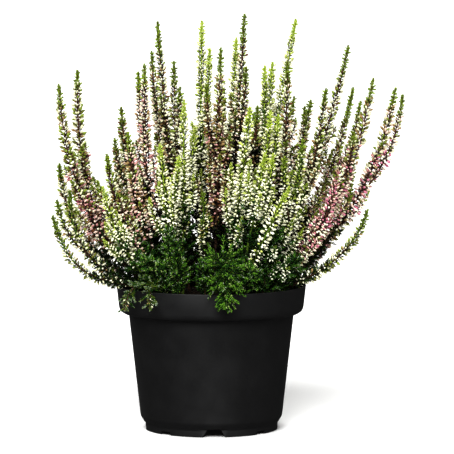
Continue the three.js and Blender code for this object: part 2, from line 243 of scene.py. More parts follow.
# Heaps of copies.
def scatter(heap, shape, places, along, flat, sizes, toneRows, keep=slice(None)):
    # along is each copy's own Z and flat roughly its Y; toneRows has a tone for each part of the shape
    rows = (places, along, flat, sizes, toneRows)
    places, along, flat, sizes, toneRows = (row[keep] for row in rows)
    across = unit(np.cross(flat, along))
    upright = np.cross(along, across)
    basis = np.stack([across, upright, along], 1)
    points = np.einsum("kpi,kij->kpj", shape["points"][None] * sizes[:, None, :], basis) + places[:, None, :]
    count, size = len(places), len(shape["points"])
    corners = shape["corners"][None] + size * np.arange(count)[:, None]
    heap.append({
        "points": points.reshape(-1, 3),
        "corners": corners.ravel(),
        "totals": np.tile(shape["totals"], count),
        "tones": toneRows[:, shape["parts"]].ravel(),
    })


def meshOf(name, heap):
    # one mesh from all that the heap holds
    shift, corners = 0, []
    for lot in heap:
        corners.append(lot["corners"] + shift)
        shift += len(lot["points"])
    points = np.concatenate([lot["points"] for lot in heap]) * mm
    corners = np.concatenate(corners)
    totals = np.concatenate([lot["totals"] for lot in heap])
    worn, slots = np.unique(np.concatenate([lot["tones"] for lot in heap]), return_inverse=True)
    mesh = bpy.data.meshes.new(name)
    mesh.vertices.add(len(points))
    mesh.vertices.foreach_set("co", points.astype(np.float32).ravel())
    mesh.loops.add(len(corners))
    mesh.loops.foreach_set("vertex_index", corners.astype(np.int32))
    mesh.polygons.add(len(totals))
    mesh.polygons.foreach_set("loop_start", (np.cumsum(totals) - totals).astype(np.int32))
    mesh.polygons.foreach_set("loop_total", totals.astype(np.int32))
    finishes = {number: finish for number, finish in tones.values()}
    for number in worn:
        mesh.materials.append(finishes[int(number)])
    mesh.polygons.foreach_set("material_index", slots.astype(np.int32).ravel())
    mesh.polygons.foreach_set("use_smooth", np.ones(len(totals), bool))
    mesh.update(calc_edges=True)
    mesh.validate()
    piece = bpy.data.objects.new(name, mesh)
    bpy.context.scene.collection.objects.link(piece)
    return piece


# Lines.
def bezierLine(a, b, c, d, count=120):
    t = np.linspace(0, 1, count)[:, None]
    a, b, c, d = (np.array(point, float) for point in (a, b, c, d))
    points = (1 - t) ** 3 * a + 3 * (1 - t) ** 2 * t * b + 3 * (1 - t) * t**2 * c + t**3 * d
    along = np.concatenate([[0], np.cumsum(np.linalg.norm(np.diff(points, axis=0), axis=1))])
    level = (d - a) * [1, 1, 0]
    if np.linalg.norm(level) < 1:
        level = np.array([1.0, 0, 0])
    across = unit(np.array([-level[1], level[0], 0]))
    return {"points": points, "along": along, "length": along[-1], "across": across, "controls": (a, b, c, d)}


# How far out and up the curve's two handles stand on a straight stem, and what the bow adds to each.
bend = {"lowOut": (0.34, 0.3), "lowUp": (0.33, -0.13), "highOut": (0.67, 0.35), "highUp": (0.67, -0.26)}


def stemLine(base, tip, bow, sag=0.0):
    # the bow pushes the line outwards low down, so that its end rises steeper; sag lowers its outer half
    base, tip = np.array(base, float), np.array(tip, float)
    way = tip - base
    lowOut, lowUp, highOut, highUp = (straight + added * bow for straight, added in bend.values())
    low = base + way * [lowOut, lowOut, lowUp]
    high = base + way * [highOut, highOut, highUp - sag]
    return bezierLine(base, low, high, tip)


def swing(first, second, angles):
    # the direction at each angle from the first towards the second
    return first * np.cos(angles)[:, None] + second * np.sin(angles)[:, None]


def onLine(line, distances):
    # place, direction and two sides of the line at these distances
    reach = 0.6  # the direction is taken between points this far on either side

    def at(where):
        return np.stack([np.interp(where, line["along"], line["points"][:, k]) for k in range(3)], 1)

    ahead = np.minimum(distances + reach, line["length"])
    behind = np.maximum(distances - reach, 0)
    way = unit(at(ahead) - at(behind))
    first = unit(line["across"] - (way @ line["across"])[:, None] * way)
    return at(distances), way, first, np.cross(way, first)


def addTube(heap, line, radii, rootDepth, lowTone, highTone, changeAt):
    # a tapering stem along the line, from below the soil if it has a root
    clearSelection()
    bpy.ops.curve.primitive_bezier_curve_add(radius=mm, location=(0, 0, 0))
    stem = bpy.context.object
    spline = stem.data.splines[0]
    a, b, c, d = (Vector(point) * mm for point in line["controls"])
    stops = [(a, a, b, radii[0]), (d, c, d, radii[1])]
    if rootDepth:
        spline.bezier_points.add(1)
        foot = a - Vector((0, 0, rootDepth * mm))
        stops.insert(0, (foot, foot, foot.lerp(a, 0.3), radii[0]))
        stops[1] = (a, a.lerp(foot, 0.3), b, radii[0])
    for point, (place, before, after, radius) in zip(spline.bezier_points, stops):
        point.handle_left_type = point.handle_right_type = "FREE"
        point.co, point.handle_left, point.handle_right, point.radius = place, before, after, radius
    stem.data.bevel_depth = mm
    stem.data.bevel_resolution = 1
    stem.data.resolution_u = 10
    stem.data.use_fill_caps = True
    bpy.ops.object.convert(target="MESH")
    shape = takeShape(bpy.context.object, lambda middle: int(middle[2] > changeAt))
    toneRow = np.array([toneOf(lowTone), toneOf(highTone)])
    tube = {key: shape[key] for key in ("points", "corners", "totals")}
    heap.append({**tube, "tones": toneRow[shape["parts"]]})


# Leaves, buds and twigs along a line.
potRim = {"outside": 61.6, "inside": 55.5, "top": 92.6, "soil": 86.2}
plantFront = 75  # no twig stands further forward than this


def clearOfPot(places):
    radius = np.hypot(places[:, 0], places[:, 1])
    inWall = (radius > potRim["inside"]) & (radius < potRim["outside"]) & (places[:, 2] < potRim["top"])
    inSoil = (radius <= potRim["inside"]) & (places[:, 2] < potRim["soil"])
    return ~(inWall | inSoil)


def ringsOn(line, draw, start, end, form):
    # rings of places from start to end, each ring turned half a place from the last; along is the line's
    # own direction leant outwards
    ring = form["ring"]
    rings = max(form["fewest"], int((end - start) / form["step"]))
    share = np.repeat((np.arange(rings) + 0.5) / rings, ring)
    count = len(share)
    shift = draw.normal(0, form["step"] * form["jitter"], count)
    distances = start + share ** form["crowding"] * (end - start) + shift
    turns = np.repeat(np.arange(rings), ring) * math.pi / ring * form["twist"]
    turns = turns + np.tile(np.arange(ring) * 2 * math.pi / ring, rings)
    turns = turns + draw.normal(0, form["turnJitter"], count)
    place, way, first, second = onLine(line, np.clip(distances, 0, line["length"]))
    out = swing(first, second, turns)
    lean = form["lean"][0] + (form["lean"][1] - form["lean"][0]) * share
    along = swing(way, out, np.radians(lean + draw.normal(0, form["tiltJitter"], count)))
    return share, place, out, along


# A jitter is the spread of a normal draw: of a place in ring steps, a turn in radians or a tilt in degrees.
leafRing = {
    "jitter": 0.12, "turnJitter": 0.16, "tiltJitter": 7, "crowding": 1, "twist": 1, "fewest": 2,
    "spread": (0.82, 1.16), "stalkLoss": 0.5, "widening": 0.7, "thickness": 0.75,
}

# Millimetres between rings, leaves in a ring, their sizes and leans in degrees from start to end, and how
# far out they stand: as a share of the stem's thickness where one is given, else in millimetres.
leafCover = {
    "tip": {"step": 0.9, "ring": 4, "sizes": (1.3, 0.8), "lean": (56, 20), "stalk": 0.5},
    "bracts": {"step": 1.6, "ring": 4, "sizes": (1.4, 1.2), "lean": (66, 50), "stalk": 0.7},
    "sideTip": {"step": 0.9, "ring": 4, "sizes": (1.0, 0.7), "lean": (45, 16), "stalk": 0.4},
    "sideBracts": {"step": 1.7, "ring": 2, "sizes": (1.0, 0.9), "lean": (58, 44), "stalk": 0.35},
    "low": {"step": 1.4, "ring": 4, "sizes": (1.2, 1.1), "lean": (58, 48), "stalk": 0.8},
    "plume": {"step": 1.1, "ring": 4, "sizes": (1.1, 0.8), "lean": (55, 16), "stalk": 0.6},
    "sprig": {"step": 1.5, "ring": 2, "sizes": (0.9, 0.7), "lean": (52, 30), "stalk": 0.5},
}


def addLeaves(heap, line, draw, start, end, cover, mix, thickness=1.0):
    form = {**leafRing, **leafCover[cover]}
    share, place, out, along = ringsOn(line, draw, start, end, form)
    first, last = form["sizes"]
    size = (first + (last - first) * share) * draw.uniform(*form["spread"], len(share))
    foot = place + out * (thickness * form["stalk"] * (1 - form["stalkLoss"] * share))[:, None]
    keep = clearOfPot(foot + along * (size * leaf["length"])[:, None])
    wide = size ** form["widening"]
    sizes = np.stack([wide, wide * form["thickness"], size], 1)
    scatter(heap, leafShape, foot, along, out, sizes, drawTones(draw, mix, len(share))[:, None], keep)


# Buds are smaller and closer near the tip and lean out less there, and the lower ones nod a little.
budRing = {
    "step": 2.15, "ring": 6, "crowding": 0.94, "twist": 1.06, "fewest": 3, "lean": (82, 48), "nod": 0.3,
    "jitter": 0.18, "turnJitter": 0.2, "tiltJitter": 11, "spread": (0.84, 1.16), "widths": (0.88, 1.08),
    "fullness": ([0, 0.15, 0.5, 0.85, 1], [0.6, 1, 1, 0.86, 0.62]), "stalk": 0.8,
    "turnBlend": 0.34, "footBlend": 0.2,
}


def addBuds(heap, line, draw, start, end, family, fullness, stalk, thinning):
    form = budRing
    share, place, out, along = ringsOn(line, draw, start, end, form)
    count = len(share)
    along = unit(along - np.array([0, 0, form["nod"]]) * (1 - share)[:, None])
    size = fullness * np.interp(share, *form["fullness"]) * draw.uniform(*form["spread"], count)
    foot = place + out * (stalk * form["stalk"])
    grown = draw.random(count) > thinning
    keep = grown & clearOfPot(foot + along * (size * bud["length"])[:, None])
    past = (share - family["turnAt"]) / form["turnBlend"] + 0.5
    late = draw.random(count) < np.clip(past, 0, 1)
    upper = drawTones(draw, family["upper"], count)
    lower = drawTones(draw, family["lower"], count)
    petals = np.where(late, upper, lower)
    if "foot" in family:
        before = (family["footAt"] - share) / form["footBlend"] + 0.5
        early = draw.random(count) < np.clip(before, 0, 1)
        petals = np.where(early, drawTones(draw, family["foot"], count), petals)
    calyx = drawTones(draw, family["calyx"], count)
    wide = size * draw.uniform(*form["widths"], count)
    sizes = np.stack([wide, wide, size], 1)
    scatter(heap, budShape, foot, along, out, sizes, np.stack([calyx, petals], 1), keep)


spiralTurn = 2.4  # radians from one side shoot to the next

# A twig stands in a spiral round its line and carries pairs of leaves, each pair across the last.
twigForm = {
    "places": (0.2, 0.8), "turnJitter": 0.3, "tiltJitter": 9, "lift": 0.18, "profileAt": [0, 0.25, 0.7, 1],
    "sizes": (0.65, 1.1), "shortest": 2, "foot": 0.4, "middle": 0.55,
    "pairs": 11, "firstPair": 0.6, "sideJitter": 0.25, "leafFoot": 0.15,
    "leafLean": (58, 22), "leanJitter": 9,
    "leafSizesAt": ([0, 0.6, 1], [0.85, 0.95, 0.62]), "leafSizes": (0.8, 1.15), "leafThickness": 0.7,
    "leafRoom": 0.62, "fewestLeaves": 0.35, "outerFrom": 0.55, "outerBlend": 0.2,
}


def addTwigs(heap, line, draw, start, end, count, reach, mix, tilt, leafScale=1.0, swell=1.0):
    # short leafy side shoots; swell makes the middle of a plume fuller and its end finer
    form = twigForm
    share = (np.arange(count) + draw.uniform(*form["places"], count)) / count
    distances = start + share * (end - start)
    turns = np.arange(count) * spiralTurn + draw.uniform(0, 2 * math.pi)
    turns = turns + draw.normal(0, form["turnJitter"], count)
    place, way, first, second = onLine(line, np.clip(distances, 0, line["length"]))
    out = swing(first, second, turns)
    angle = np.radians(tilt[0] + (tilt[1] - tilt[0]) * share + draw.normal(0, form["tiltJitter"], count))
    along = unit(swing(way, out, angle) + np.array([0, 0, form["lift"]]))
    profile = [0.75, 1, 0.9 * swell, 0.45 / swell]
    size = np.interp(share, form["profileAt"], profile) * reach * draw.uniform(*form["sizes"], count)
    foot = place + out * form["foot"]
    room = (foot[:, 1] + plantFront) / np.maximum(-along[:, 1], 0.01)
    size = np.minimum(size, np.maximum(room, form["shortest"]))
    keep = clearOfPot(foot + along * size[:, None])
    keep &= clearOfPot(foot + along * (size * form["middle"])[:, None])
    foot, along, out, size, count = foot[keep], along[keep], out[keep], size[keep], int(keep.sum())
    if not count:
        return
    sizes = np.stack([np.ones(count), np.ones(count), size], 1)
    scatter(heap, twigShape, foot, along, out, sizes, np.full((count, 1), toneOf("greenBark")))
    # the leaves of every twig at once
    pairs = form["pairs"]
    twig = np.repeat(np.arange(count), pairs * 2)
    where = np.tile(np.repeat((np.arange(pairs) + form["firstPair"]) / pairs, 2), count)
    side = np.tile(np.tile([0.0, math.pi], pairs) + np.repeat(np.arange(pairs) * math.pi / 2, 2), count)
    side = side + draw.normal(0, form["sideJitter"], len(side))
    axis = along[twig]
    sideways = unit(np.cross(axis, out[twig] + 0.01))
    other = np.cross(axis, sideways)
    off = swing(sideways, other, side)
    lean = np.interp(where, [0, 1], form["leafLean"]) + draw.normal(0, form["leanJitter"], len(where))
    leafWay = swing(axis, off, np.radians(lean))
    fullSize = leafScale * np.interp(where, *form["leafSizesAt"])
    leafSize = fullSize * draw.uniform(*form["leafSizes"], len(where))
    leafFoot = foot[twig] + axis * (where * size[twig])[:, None] + off * form["leafFoot"]
    # few leaves on a short twig, and none inside the pot's wall
    dense = np.clip(size[twig] / (pairs * form["leafRoom"] * leafScale), form["fewestLeaves"], 1)
    kept = draw.random(len(where)) < dense
    kept &= clearOfPot(leafFoot + leafWay * 2)
    # a leaf near the twig's tip takes the second mix, one near its foot the darker first: partly paler young
    # tips, partly painted shade near the stem
    outer = where + draw.normal(0, form["outerBlend"], len(where)) > form["outerFrom"]
    outerTones = drawTones(draw, mix[1], len(where))
    innerTones = drawTones(draw, mix[0], len(where))
    tone = np.where(outer, outerTones, innerTones)[:, None]
    sizes = np.stack([leafSize, leafSize * form["leafThickness"], leafSize], 1)
    scatter(heap, leafShape, leafFoot, leafWay, off, sizes, tone, kept)


# Flowering stems.
spike = {
    "stemBase": 87.0, "rootDepth": 8, "bare": 0.22, "stalk": 1.05, "tipStalk": 0.36, "thinning": 0.08,
    "firstLeaf": 3, "firstTwig": 4, "tipOverlap": 3, "budOverlap": 1, "lastLeaf": 0.3, "frontFrom": -10,
}

# The youngest buds are green and make the tip knobbly.
youngBuds = {"lastBud": 1.2, "fullness": 0.66, "stalk": 0.3, "thinning": 0.3}

# upper and lower are the buds' tones near the tip and below it, and turnAt is where they change over;
# the lowest buds of some spikes have a third set, up to footAt
# bract tones are dark: partly the bracts' own brown and red, partly painted shade in the gaps between the
# buds
families = {
    "lime": {
        "tip": {"limeLeaf": 4, "freshLeaf": 3, "limeBud": 3, "paleLeaf": 1},
        "upper": {"greenBud": 1, "limeBud": 3, "cream": 4, "milk": 2},
        "lower": {"milk": 5, "snow": 3, "cream": 4, "limeBud": 1},
        "calyx": {"freshLeaf": 3, "tipLeaf": 3},
        "bract": {"tipLeaf": 2, "oliveLeaf": 2, "deepLeaf": 2, "brownBract": 4, "paintedShadeLeaf": 2},
        "bark": ("greenBark", "limeBark"), "turnAt": 0.68, "slot": "lime_flowers",
    },
    "cream": {
        "tip": {"tipLeaf": 4, "freshLeaf": 3, "oliveLeaf": 1},
        "upper": {"greenBud": 3, "limeBud": 2, "cream": 4, "olive": 1},
        "lower": {"snow": 5, "milk": 5, "cream": 2},
        "calyx": {"summerLeaf": 3, "tipLeaf": 2},
        "bract": {"deepLeaf": 3, "shadeLeaf": 2, "tipLeaf": 1, "brownBract": 3, "paintedShadeLeaf": 1},
        "bark": ("wood", "greenBark"), "turnAt": 0.62, "slot": "white_flowers",
    },
    "white": {
        "tip": {"tipLeaf": 4, "oliveLeaf": 3},
        "upper": {"limeBud": 1, "milk": 4, "cream": 3, "greenBud": 2}, "lower": {"snow": 8, "milk": 4},
        "calyx": {"summerLeaf": 2, "deepLeaf": 2},
        "bract": {"deepLeaf": 3, "shadeLeaf": 2, "brownBract": 2, "paintedShadeLeaf": 1},
        "bark": ("wood", "greenBark"), "turnAt": 0.72, "slot": "white_flowers",
    },
    "dusky": {
        "tip": {"tipLeaf": 5, "oliveLeaf": 3, "freshLeaf": 1},
        "upper": {"tan": 2, "olive": 2, "greenBud": 3, "russet": 1, "cream": 5, "blush": 1, "milk": 3},
        "lower": {"blush": 3, "milk": 4, "cream": 3, "tan": 2, "olive": 2},
        "calyx": {"brownBract": 4, "drabLeaf": 2},
        "bract": {"brownBract": 3, "redBract": 1, "deepLeaf": 2, "drabLeaf": 4},
        "bark": ("wood", "reddishBark"), "turnAt": 0.5, "slot": "dusky_flowers",
    },
    "blush": {
        "tip": {"tipLeaf": 4, "freshLeaf": 3, "oliveLeaf": 1},
        "upper": {"cream": 4, "blush": 2, "tan": 2, "greenBud": 1, "oldRose": 1},
        "lower": {"blush": 5, "oldRose": 3, "tan": 2, "milk": 4},
        "calyx": {"brownBract": 4, "redBract": 2},
        "bract": {"brownBract": 4, "redBract": 3, "drabLeaf": 2},
        "bark": ("wood", "reddishBark"), "turnAt": 0.6, "slot": "pink_flowers",
    },
    "pink": {
        "tip": {"tipLeaf": 5, "freshLeaf": 2, "oliveLeaf": 2},
        "upper": {"cream": 4, "blush": 2, "tan": 2, "olive": 2, "greenBud": 2},
        "lower": {"rosePink": 5, "oldRose": 4, "deepPink": 1, "blush": 5, "snow": 4},
        "calyx": {"redBract": 4, "oldRose": 2}, "bract": {"redBract": 4, "brownBract": 3, "tan": 1},
        "foot": {"cream": 4, "milk": 3, "olive": 3, "blush": 2, "tan": 1}, "footAt": 0.2,
        "bark": ("wood", "reddishBark"), "turnAt": 0.5, "slot": "pink_flowers",
    },
}

families["mauve"] = {
    **families["pink"], "upper": {"olive": 4, "greenBud": 4, "cream": 5, "milk": 2, "tan": 1},
    "lower": {"oldRose": 4, "blush": 4, "deepPink": 1, "wine": 1, "milk": 3, "russet": 1}, "turnAt": 0.42,
    "foot": {"oldRose": 3, "russet": 2, "tan": 3, "blush": 2, "cream": 2}, "footAt": 0.2,
}

families["fawn"] = {
    **families["mauve"], "upper": {"tan": 3, "olive": 3, "greenBud": 2, "cream": 5, "blush": 1},
    "lower": {"oldRose": 2, "tan": 3, "blush": 4, "russet": 2, "milk": 4},
}

families["rose"] = {
    **families["pink"], "tip": {"oldRose": 3, "rosePink": 2, "tipLeaf": 2},
    "upper": {"rosePink": 4, "oldRose": 4, "blush": 5, "snow": 2},
    "footAt": 0.36,
}

families["sage"] = {
    "tip": {"tipLeaf": 5, "oliveLeaf": 4}, "upper": {"olive": 3, "greenBud": 3, "cream": 5, "tan": 1},
    "lower": {"milk": 5, "cream": 4, "olive": 2, "tan": 1}, "calyx": {"brownBract": 2, "deepLeaf": 2},
    "bract": {"deepLeaf": 3, "shadeLeaf": 3, "drabLeaf": 3}, "bark": ("wood", "greenBark"), "turnAt": 0.5,
    "slot": "white_flowers",
}


def stemAt(root, tip, bow, green, family, **more):
    # green is the leafy tip in millimetres. A row may add: leafy, the share below the first buds; heart and
    # cover, how high the dark leaves of painted shade go above them on an inner stem and on the others; full
    # and thin, the buds' size and the share of them that is missing; shoots, its side spikes; side, its
    # second tip from the first; sag; and free of the rest
    return {"root": root, "tip": tip, "bow": bow, "green": green, "family": family, **more}


floweringStems = [
    stemAt((-14, 6), (-34, 14, 257), 0.3, 19, "dusky", leafy=0.32, heart=24, side=(-4, 9, -19)),
    stemAt((-8, 27), (-6, 26, 257), 0.0, 12, "lime", shoots=12, side=(5, -10, -17)),
    stemAt((2, 0), (6, 0, 241), 0.0, 18, "fawn", leafy=0.27, full=1.2, shoots=16, heart=6,
           side=(-9, -14, -22)),
    stemAt((8, 6), (21, 10, 262), 0.2, 16, "dusky", leafy=0.32, side=(1, -10, -33)),
    stemAt((7, 20), (16, 36, 246), 0.2, 11, "lime"),
    stemAt((21, 9), (39, 20, 231), 0.3, 9, "lime", leafy=0.34, side=(-5, -8, -2)),
    stemAt((22, 18), (54, 34, 258), 0.0, 12, "lime"),
    stemAt((29, 3), (48, 2, 232), 0.9, 12, "dusky", leafy=0.3),
    stemAt((29, 10), (87, 14, 242), 0.3, 18, "dusky", side=(-17, -8, -54)),
    stemAt((-32, -5), (-42, -8, 231), 0.9, 12, "blush", side=(-4, 9, -5)),
    stemAt((-22, 26), (-24, 38, 231), 0.2, 14, "dusky", side=(4, -9, -16)),
    stemAt((-18, -15), (-17, -14, 209), 0.0, 10, "lime", leafy=0.26, side=(6, 14, -20)),
    stemAt((-25, 1), (-57, 8, 203), 0.6, 8, "dusky", shoots=14, side=(-4, -8, -19)),
    stemAt((-27, -11), (-52, -18, 188), 0.5, 9, "blush", leafy=0.28, shoots=10, full=1.15),
    stemAt((-31, 8), (-85, 22, 226), 1.1, 10, "mauve", shoots=13, full=1.15, side=(3, -9, -48)),
    stemAt((-38, -1), (-96, 0, 218), 0.75, 12, "mauve", free=True, shoots=8, full=1.15),
    stemAt((36, -3), (102, -4, 222), 0.5, 14, "pink", leafy=0.3, cover=6, free=True, shoots=9, full=1.15,
           side=(-13, -8, -33)),
    stemAt((42, 6), (117, 14, 215), 0.55, 12, "pink", leafy=0.3, free=True, shoots=4, full=1.15,
           side=(4, -8, -4)),
    stemAt((34, 16), (91, 38, 214), 0.4, 22, "mauve", free=True, shoots=4, side=(5, 8, -9)),
    stemAt((29, -5), (72, -12, 216), 0.5, 10, "dusky", side=(-8, 10, -44)),
    stemAt((27, 25), (64, 42, 206), 0.3, 8, "dusky", side=(-4, -8, -4)),
    stemAt((19, -9), (29, -14, 205), 0.2, 10, "dusky", leafy=0.4),
    stemAt((10, -17), (24, -44, 206), 0.0, 8, "lime", leafy=0.24, shoots=10, full=1.15),
    stemAt((21, -17), (37, -28, 203), 0.2, 12, "lime", leafy=0.36, side=(5, 9, -3)),
    stemAt((-40, 12), (-97, 26, 166), 0.8, 9, "dusky", free=True, full=1.15),
    stemAt((-38, -10), (-88, -26, 153), 1.0, 9, "sage", free=True, thin=0.15, full=1.0, side=(-8, -2, -6)),
    stemAt((-35, -17), (-98, -48, 139), 0.4, 11, "sage", sag=0.5, free=True, thin=0.25, full=0.9),
    stemAt((-30, -23), (-67, -46, 157), 0.5, 9, "lime", leafy=0.32),
    stemAt((-24, -16), (-65, -32, 176), 0.6, 9, "mauve", leafy=0.28, shoots=12, full=1.1, side=(-6, 9, -17)),
    stemAt((38, -17), (97, -40, 142), 0.6, 12, "sage", free=True),
    stemAt((42, 19), (90, 30, 153), 0.6, 12, "mauve", free=True),
    stemAt((15, -36), (48, -60, 158), 0.0, 10, "lime", leafy=0.2, free=True),
    stemAt((28, -16), (57, -28, 185), 0.6, 9, "cream", leafy=0.2, shoots=10, side=(-12, -12, -10)),
    stemAt((17, -26), (33, -64, 179), 0.0, 10, "lime", leafy=0.5, side=(5, 8, -1)),
    stemAt((-22, -26), (-32, -42, 183), 0.0, 9, "lime", leafy=0.3, side=(12, -6, -7)),
    stemAt((-4, -27), (-5, -53, 154), 0.0, 7, "sage", leafy=0.36, free=True, shoots=2, thin=0.4, full=0.85),
    stemAt((34, -11), (79, -24, 166), 0.6, 8, "rose", leafy=0.22, cover=6, free=True, shoots=6),
    stemAt((-27, 19), (-59, 54, 191), 0.3, 10, "sage", shoots=12, side=(8, 8, -14)),
    stemAt((-16, 34), (-38, 66, 213), 0.2, 10, "blush", side=(8, 8, -16)),
    stemAt((2, 31), (8, 74, 212), 0.1, 10, "dusky", side=(-12, 8, -22)),
    stemAt((12, 29), (36, 66, 214), 0.1, 12, "cream", side=(-8, 8, -18)),
    stemAt((20, 31), (54, 68, 207), 0.2, 10, "blush", side=(-6, 10, -20)),
    stemAt((-35, 23), (-62, 62, 168), 0.6, 9, "dusky"),
    stemAt((35, 28), (84, 62, 176), 0.6, 10, "pink", side=(8, -9, -14)),
    stemAt((-9, 41), (-28, 92, 161), 0.6, 9, "lime", side=(9, 6, -12)),
    stemAt((12, 40), (28, 94, 165), 0.6, 9, "white", side=(-9, 5, -14)),
]


# Leafy growth: the tones near a twig's foot and near its tip. Deep in the plant all is dark: the near-black
# tones of the heart and gloom mixes, and the dark feet of the others, are painted shade.
growth = {
    "heart": ({"paintedShadeLeaf": 1}, {"paintedShadeLeaf": 4, "shadeLeaf": 2}),
    "gloom": ({"paintedShadeLeaf": 3, "shadeLeaf": 3}, {"shadeLeaf": 5, "deepLeaf": 3, "drabLeaf": 1}),
    "dark": ({"shadeLeaf": 5, "deepLeaf": 2}, {"deepLeaf": 4, "summerLeaf": 3, "frostLeaf": 1}),
    "grey": ({"deepLeaf": 2, "oliveLeaf": 2}, {"frostLeaf": 6, "paleLeaf": 2, "deepLeaf": 3}),
    "middle": (
        {"deepLeaf": 3, "shadeLeaf": 3},
        {"summerLeaf": 4, "youngLeaf": 3, "deepLeaf": 1, "paleLeaf": 2, "frostLeaf": 2},
    ),
    "bright": (
        {"deepLeaf": 4, "shadeLeaf": 2}, {"youngLeaf": 7, "summerLeaf": 3, "paleLeaf": 1, "frostLeaf": 1},
    ),
}


def dressSpike(heap, line, draw, family, bare, green, stalk, fullness, rootDepth, thinning):
    length = line["length"]
    budEnd = length - green
    lowBark, highBark = family["bark"]
    changeAt = line["points"][len(line["points"]) * 2 // 3][2]
    addTube(heap, line, (stalk, spike["tipStalk"]), rootDepth, lowBark, highBark, changeAt)
    tipFrom = budEnd - spike["tipOverlap"]
    addLeaves(heap, line, draw, tipFrom, length - spike["lastLeaf"], "tip", family["tip"])
    addLeaves(heap, line, draw, bare, budEnd, "bracts", family["bract"], stalk)
    addBuds(heap, line, draw, bare, budEnd + spike["budOverlap"], family, fullness, stalk, thinning)
    young = {"upper": family["tip"], "lower": family["tip"], "calyx": family["tip"], "turnAt": 0.5}
    fullness, stalk, thinning = youngBuds["fullness"], youngBuds["stalk"], youngBuds["thinning"]
    addBuds(heap, line, draw, budEnd, length - youngBuds["lastBud"], young, fullness, stalk, thinning)


# A side spike starts along the budded part, gets shorter towards the tip and curves up beside its stem.
sideForm = {
    "places": (0.1, 0.9), "from": 0.9, "span": 0.6, "longest": 30, "shortening": 0.4,
    "lengths": (0.75, 1.15), "lowHandle": (0.25, 0.24), "highHandle": 0.35, "stickWidth": 1.2,
    "stickOverlap": 2.6, "tipFrom": 0.85, "lastLeaf": 0.2, "firstBract": 1.5, "bractsTo": 0.9,
    "buds": (0.22, 0.86), "fullness": 0.84, "stalk": 0.4, "thinning": 0.1, "turnRange": 6.3,
}


def addFlowerShoots(heap, line, draw, family, bare, green, count, lean, longest=sideForm["longest"]):
    # side spikes that rise close to the stem, each with a leafy tip
    form = sideForm
    share = (np.arange(count) + draw.uniform(*form["places"], count)) / max(count, 1)
    distances = bare * form["from"] + share * (line["length"] - bare - green) * form["span"]
    turns = np.arange(count) * spiralTurn + draw.uniform(0, form["turnRange"])
    place, way, first, second = onLine(line, distances)
    stickEnds = [0, 40, 80, 119]  # of the line's 120 points
    for k in range(count):
        out = first[k] * math.cos(turns[k]) + second[k] * math.sin(turns[k])
        reach = longest * (1 - form["shortening"] * share[k]) * draw.uniform(*form["lengths"])
        tip = place[k] + (way[k] + out * draw.uniform(*lean)) * reach
        low = place[k] + (way[k] * form["lowHandle"][0] + out * form["lowHandle"][1]) * reach
        high = tip - way[k] * reach * form["highHandle"]
        shoot = bezierLine(place[k], low, high, tip)
        if not clearOfPot(shoot["points"][30:]).all():  # past its first quarter
            continue
        size = shoot["length"]
        ends = shoot["points"][stickEnds]
        sizes = np.array([[form["stickWidth"], form["stickWidth"], size / form["stickOverlap"]]] * 3)
        ways, flats = unit(np.diff(ends, axis=0)), np.repeat(out[None], 3, 0)
        scatter(heap, twigShape, ends[:3], ways, flats, sizes, np.full((3, 1), toneOf(family["bark"][1])))
        tipFrom, bractsTo = size * form["tipFrom"], size * form["bractsTo"]
        addLeaves(heap, shoot, draw, tipFrom, size - form["lastLeaf"], "sideTip", family["tip"])
        addLeaves(heap, shoot, draw, form["firstBract"], bractsTo, "sideBracts", family["bract"])
        start, end = size * form["buds"][0], size * form["buds"][1]
        addBuds(heap, shoot, draw, start, end, family, form["fullness"], form["stalk"], form["thinning"])


# The leafy part below the buds, by where the stem stands: its tones and its twigs.
# Its tones are painted shade: near black on an inner stem, dark on the others.
lowerStem = {
    "inner": {"mix": "heart", "perMillimetre": 0.58, "reach": 13, "tilt": (68, 52), "leafScale": 2.3},
    "front": {"mix": "dark", "twigs": 34, "reach": 10.5, "tilt": (66, 50), "leafScale": 1.7},
    "outer": {"mix": "gloom", "twigs": 36, "reach": 7.5, "tilt": (64, 44), "leafScale": 1.3},
}


def dressLowerStem(heap, line, draw, bare, place, high, cover):
    # the leafy part between the soil and the first buds, dark with painted shade; on an inner stem its
    # near-black leaves go on higher
    form = lowerStem[place]
    mix = growth[form["mix"]]
    lastLeaf, firstTwig = bare + spike["tipOverlap"], spike["firstTwig"]
    addLeaves(heap, line, draw, spike["firstLeaf"], lastLeaf, "low", mix[0], spike["stalk"])
    end = bare + (high if place == "inner" else cover)
    count = int(end * form["perMillimetre"]) if place == "inner" else form["twigs"]
    addTwigs(heap, line, draw, firstTwig, end, count, form["reach"], mix, form["tilt"], form["leafScale"])


def placeOf(stem):
    # an outer stem stands free; of the others, one near the front shows its leafy foot
    if stem.get("free"):
        return "outer"
    return "front" if stem["root"][1] < spike["frontFrom"] else "inner"


# How many side spikes a stem has where it says nothing else, and how far they lean out.
sideSpikes = {
    "outer": {"count": 0, "lean": (0.1, 0.24)},
    "front": {"count": 6, "lean": (0.2, 0.36)},
    "inner": {"count": 8, "lean": (0.26, 0.42)},
}

# The second spike of a stem leaves it half way up. Its shares are of its own length.
branchForm = {"bow": 0.6, "bare": 0.22, "green": 0.16, "stalk": 0.75, "fullness": 0.86}

# How high the near-black leaves of painted shade go above the first buds on an inner stem, less on a stem
# that leans out; and how high the dark leaves go on the others.
darkHeart = {"high": 58, "lossByLean": 0.45, "least": 14, "cover": 24}

